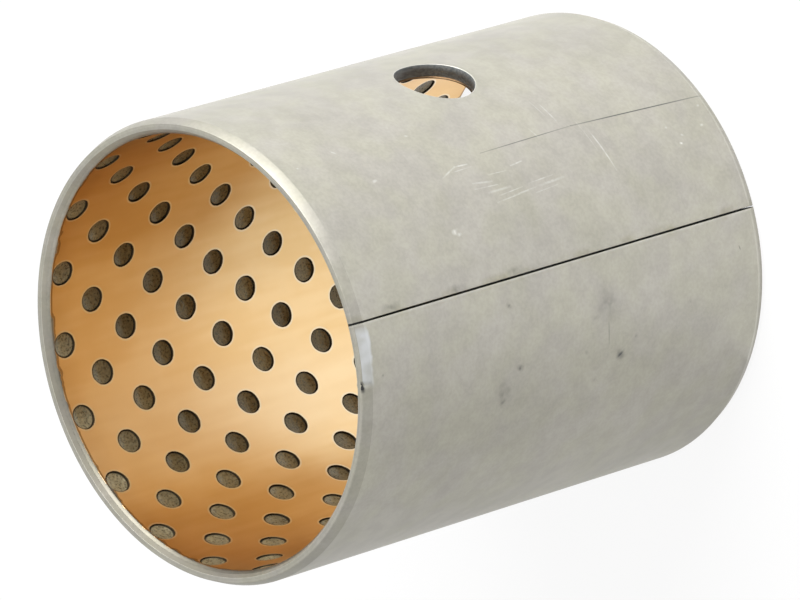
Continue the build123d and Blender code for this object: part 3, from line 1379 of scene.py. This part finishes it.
def graphite_material(finishes, sleeve, plugs):
    """Dull, grainy pressed graphite, with painted reflection on some plugs and painted shade round
    each plug's edge.
    """
    material, tree, shader = new_material("Pressed Graphite")
    nearest = plug_place(tree, sleeve, plugs)
    grain = mottle(tree, 0.4, detail=5.0, seed=5.0)
    pits = use(tree, "Specks", Size=0.55, Radius=0.42, Share=0.35)["Mask"]
    dark = (*(c * 0.7 for c in finishes.graphite), 1)
    pale = (*(c * 1.4 for c in finishes.graphite), 1)
    base = blend(fit_range(grain, 0.32, 0.68), dark, pale)
    number = {"W": nearest["Number"]}
    odd = add(tree, "ShaderNodeTexWhiteNoise", number, noise_dimensions="1D")["Value"]
    base = base * fit_range(odd, 0.0, 1.0, 0.8, 1.2, smooth=False)

    # Paler and bluer away from the angle of 110 degrees and towards the upper end: painted
    # reflection
    place = use(tree, "Round Place")
    away = maths("WRAP", place["Angle"] - 110.0, 180.0, -180.0)
    reflected_sky = fit_range(abs(away), 30.0, 80.0)
    reflected_sky = maths("MAXIMUM", reflected_sky, fit_range(place["Height"], 72.0, 86.0))
    base = tinted(base, reflected_sky, (1.6, 1.8, 2.4, 1))
    base = blend(pits * 0.4, base, (0.012, 0.010, 0.008, 1))
    # Ragged painted shade round each plug's edge, where it meets its pocket
    edge = maths("MULTIPLY_ADD", grain, 0.5, nearest["Distance"])
    radius = plugs.radius / MM
    base = blend(fit_range(edge, radius - 0.05, radius + 0.25), base, (0.03, 0.025, 0.018, 1))
    rough = fit_range(grain, 0.3, 0.7, 0.24, 0.42)
    finish(shader, base, rough, 0.5, (0.6, 0.025 * MM, grain))
    return material


def seen_directly(tree):
    """1 for what the camera sees, straight or in metal or glass, and 0 for what lights things."""
    rays = add(tree, "ShaderNodeLightPath")
    seen = maths("MAXIMUM", rays["Is Camera Ray"], rays["Is Glossy Ray"])
    return maths("MAXIMUM", seen, rays["Is Transmission Ray"])


def floor_material(shadow):
    """A floor that looks white to the camera and in reflections, and keeps the shadow."""
    material, tree, shader = new_material("Pale Floor")
    tree.nodes.remove(shader)
    plain = add(tree, "ShaderNodeBsdfDiffuse", {"Color": (0.85, 0.85, 0.85, 1)})["BSDF"]
    white = add(tree, "ShaderNodeEmission", {"Color": (1, 1, 1, 1), "Strength": 1.0})["Emission"]
    mostly_white = add(tree, "ShaderNodeMixShader", {0: shadow, 1: white, 2: plain})["Shader"]
    inputs = {0: seen_directly(tree), 1: plain, 2: mostly_white}
    shown = add(tree, "ShaderNodeMixShader", inputs)["Shader"]
    feed(tree.nodes["Material Output"].inputs["Surface"], shown)
    return material


# Operators


class BUSHING_OT_steel_shell(bpy.types.Operator):
    """Adds the wrapped steel shell"""

    bl_idname = "bushing.steel_shell"
    bl_label = "Steel Shell"
    bl_options = {"REGISTER", "UNDO"}

    def execute(self, context):
        settings = context.scene.bushing
        make_node_groups()
        layout = Layout(settings.sleeve, settings.plugs)
        shape = build_shell(settings.sleeve, settings.plugs, layout)
        material = steel_material(settings.finishes, settings.sleeve)
        piece = shape.piece("wrapped_steel_shell", material)
        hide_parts("steel_shell")
        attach(piece, "root")
        return {"FINISHED"}


class BUSHING_OT_bronze_lining(bpy.types.Operator):
    """Adds the bronze lining of the bore"""

    bl_idname = "bushing.bronze_lining"
    bl_label = "Bronze Lining"
    bl_options = {"REGISTER", "UNDO"}

    def execute(self, context):
        settings = context.scene.bushing
        make_node_groups()
        layout = Layout(settings.sleeve, settings.plugs)
        shape = build_lining(settings.sleeve, settings.plugs, layout)
        material = bronze_material(settings.finishes, settings.sleeve, settings.plugs)
        piece = shape.piece("turned_bronze_lining", material)
        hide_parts("bronze_lining")
        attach(piece, "root")
        return {"FINISHED"}


class BUSHING_OT_graphite_plugs(bpy.types.Operator):
    """Adds the graphite plugs, one piece for each ring"""

    bl_idname = "bushing.graphite_plugs"
    bl_label = "Graphite Plugs"
    bl_options = {"REGISTER", "UNDO"}

    def execute(self, context):
        settings = context.scene.bushing
        make_node_groups()
        layout = Layout(settings.sleeve, settings.plugs)
        rings, nodes = len(layout.rings), len(RING_NODES)
        if rings != nodes:
            raise RuntimeError(f"there are {rings} rings of plugs for {nodes} nodes")
        material = graphite_material(settings.finishes, settings.sleeve, settings.plugs)
        rng = Random(settings.plugs.seed)
        for node, arcs, height in zip(RING_NODES, layout.rings, layout.heights):
            shape = Shape()
            for arc in arcs:
                build_plug(shape, settings.sleeve, settings.plugs, layout.angle(arc), height, rng)
            piece = shape.piece(node.replace("ring", "plugs"), material)
            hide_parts(node)
            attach(piece, "root")
        return {"FINISHED"}


class BUSHING_OT_stage(bpy.types.Operator):
    """Adds the camera, the floor and the soft studio light"""

    bl_idname = "bushing.stage"
    bl_label = "Stage"
    bl_options = {"REGISTER", "UNDO"}

    def execute(self, context):
        stage = context.scene.bushing.stage
        add_camera(context.scene, stage)
        add_floor(context.scene, stage)
        add_lamps(context.scene, stage)
        context.scene.view_settings.view_transform = "Standard"
        return {"FINISHED"}


def add_camera(scene, stage):
    """A camera that looks at the aim point."""
    camera = bpy.data.objects.new("camera", bpy.data.cameras.new("camera"))
    camera.data.sensor_width = 36
    camera.data.lens = stage.lens
    camera.data.clip_end = 20
    round_bore = Matrix.Rotation(stage.azimuth + pi / 2, 4, "Z")
    tilt = Matrix.Rotation(pi / 2 - stage.elevation, 4, "X")
    turned = round_bore @ tilt @ Matrix.Rotation(stage.roll, 4, "Z")
    back = turned.to_3x3() @ Vector((0, 0, 1))
    camera.matrix_world = Matrix.Translation(Vector(stage.aim) + back * stage.distance) @ turned
    scene.collection.objects.link(camera)
    scene.camera = camera


def add_floor(scene, stage):
    """A plain pale floor under the sleeve."""
    side = stage.floor_size / 2
    mesh = bpy.data.meshes.new("floor")
    corners = [(-side, -side, 0), (side, -side, 0), (side, side, 0), (-side, side, 0)]
    mesh.from_pydata(corners, [], [(0, 1, 2, 3)])
    mesh.materials.append(floor_material(stage.shadow))
    floor = bpy.data.objects.new("floor", mesh)
    scene.collection.objects.link(floor)


# Lamps: name, azimuth and elevation in degrees, distance and side in metres, power in watts

LAMPS = [
    ("key_softbox", 12, 30, 1.0, 0.9, 22.0),
    ("front_softbox", -70, 60, 1.4, 0.9, 2.0),
    ("bore_softbox", -135, 66, 1.2, 0.5, 1.5),
]
# A panel of light on the floor: its azimuth, how far its near edge lies from the bore's
# axis, its side and its power
PANEL = (2, -0.008, 0.5, 0.25)
PANEL_HEIGHT = 1.0 * MM
WORLD_LIGHT = 0.55


def add_lamp(scene, name, side, power, location, rotation):
    """Adds a square lamp and returns it."""
    lamp = bpy.data.lights.new(name, "AREA")
    lamp.energy = power
    lamp.size = side
    placed = bpy.data.objects.new(name, lamp)
    placed.location = location
    placed.rotation_euler = rotation
    scene.collection.objects.link(placed)
    return placed


def add_lamps(scene, stage):
    """Large soft lamps round the sleeve, and an even light from the room."""
    aim = Vector(stage.aim)
    for name, azimuth, elevation, distance, side, power in LAMPS:
        back = at(radians(azimuth), cos(radians(elevation)), sin(radians(elevation)))
        rotation = back.to_track_quat("Z", "Y").to_euler()
        add_lamp(scene, name, side, power, aim + back * distance, rotation)

    azimuth, near_edge, side, power = PANEL
    location = at(radians(azimuth), near_edge + side / 2, PANEL_HEIGHT)
    panel = add_lamp(scene, "floor_panel", side, power, location, (pi, 0, radians(azimuth)))
    panel.data.color = (0.98, 0.99, 1.06)
    panel.visible_camera = False

    world = bpy.data.worlds.new("studio")
    scene.world = world
    world.use_nodes = True
    tree = world.node_tree
    strength = fit_range(seen_directly(tree), 0.0, 1.0, WORLD_LIGHT, 1.0, smooth=False)
    background = tree.nodes["Background"]
    feed(background.inputs["Color"], (1, 1, 1, 1))
    feed(background.inputs["Strength"], strength)


class BUSHING_PT_panel(bpy.types.Panel):
    """Lists the pieces of the bushing and their settings"""

    bl_idname = "BUSHING_PT_panel"
    bl_label = "Graphite Plugged Bushing"
    bl_space_type = "VIEW_3D"
    bl_region_type = "UI"
    bl_category = "Bushing"

    def draw(self, context):
        settings = context.scene.bushing
        for group in (settings.sleeve, settings.plugs, settings.finishes, settings.stage):
            box = self.layout.box()
            for name in group.__annotations__:
                box.prop(group, name)
        for operator in OPERATORS:
            self.layout.operator(operator.bl_idname)


OPERATORS = (
    BUSHING_OT_steel_shell,
    BUSHING_OT_bronze_lining,
    BUSHING_OT_graphite_plugs,
    BUSHING_OT_stage,
)
CLASSES = (
    SleeveSizes,
    PlugSizes,
    Finishes,
    StageSettings,
    BushingSettings,
    *OPERATORS,
    BUSHING_PT_panel,
)


def register():
    """Registers the classes and adds the settings to the scene."""
    for cls in CLASSES:
        bpy.utils.register_class(cls)
    bpy.types.Scene.bushing = PointerProperty(type=BushingSettings)


def unregister():
    """Removes the settings and the classes."""
    del bpy.types.Scene.bushing
    for cls in reversed(CLASSES):
        bpy.utils.unregister_class(cls)


def main():
    """Builds the whole scene."""
    register()
    bpy.ops.bushing.steel_shell()
    bpy.ops.bushing.bronze_lining()
    bpy.ops.bushing.graphite_plugs()
    bpy.ops.bushing.stage()


if __name__ == "__main__":
    main()
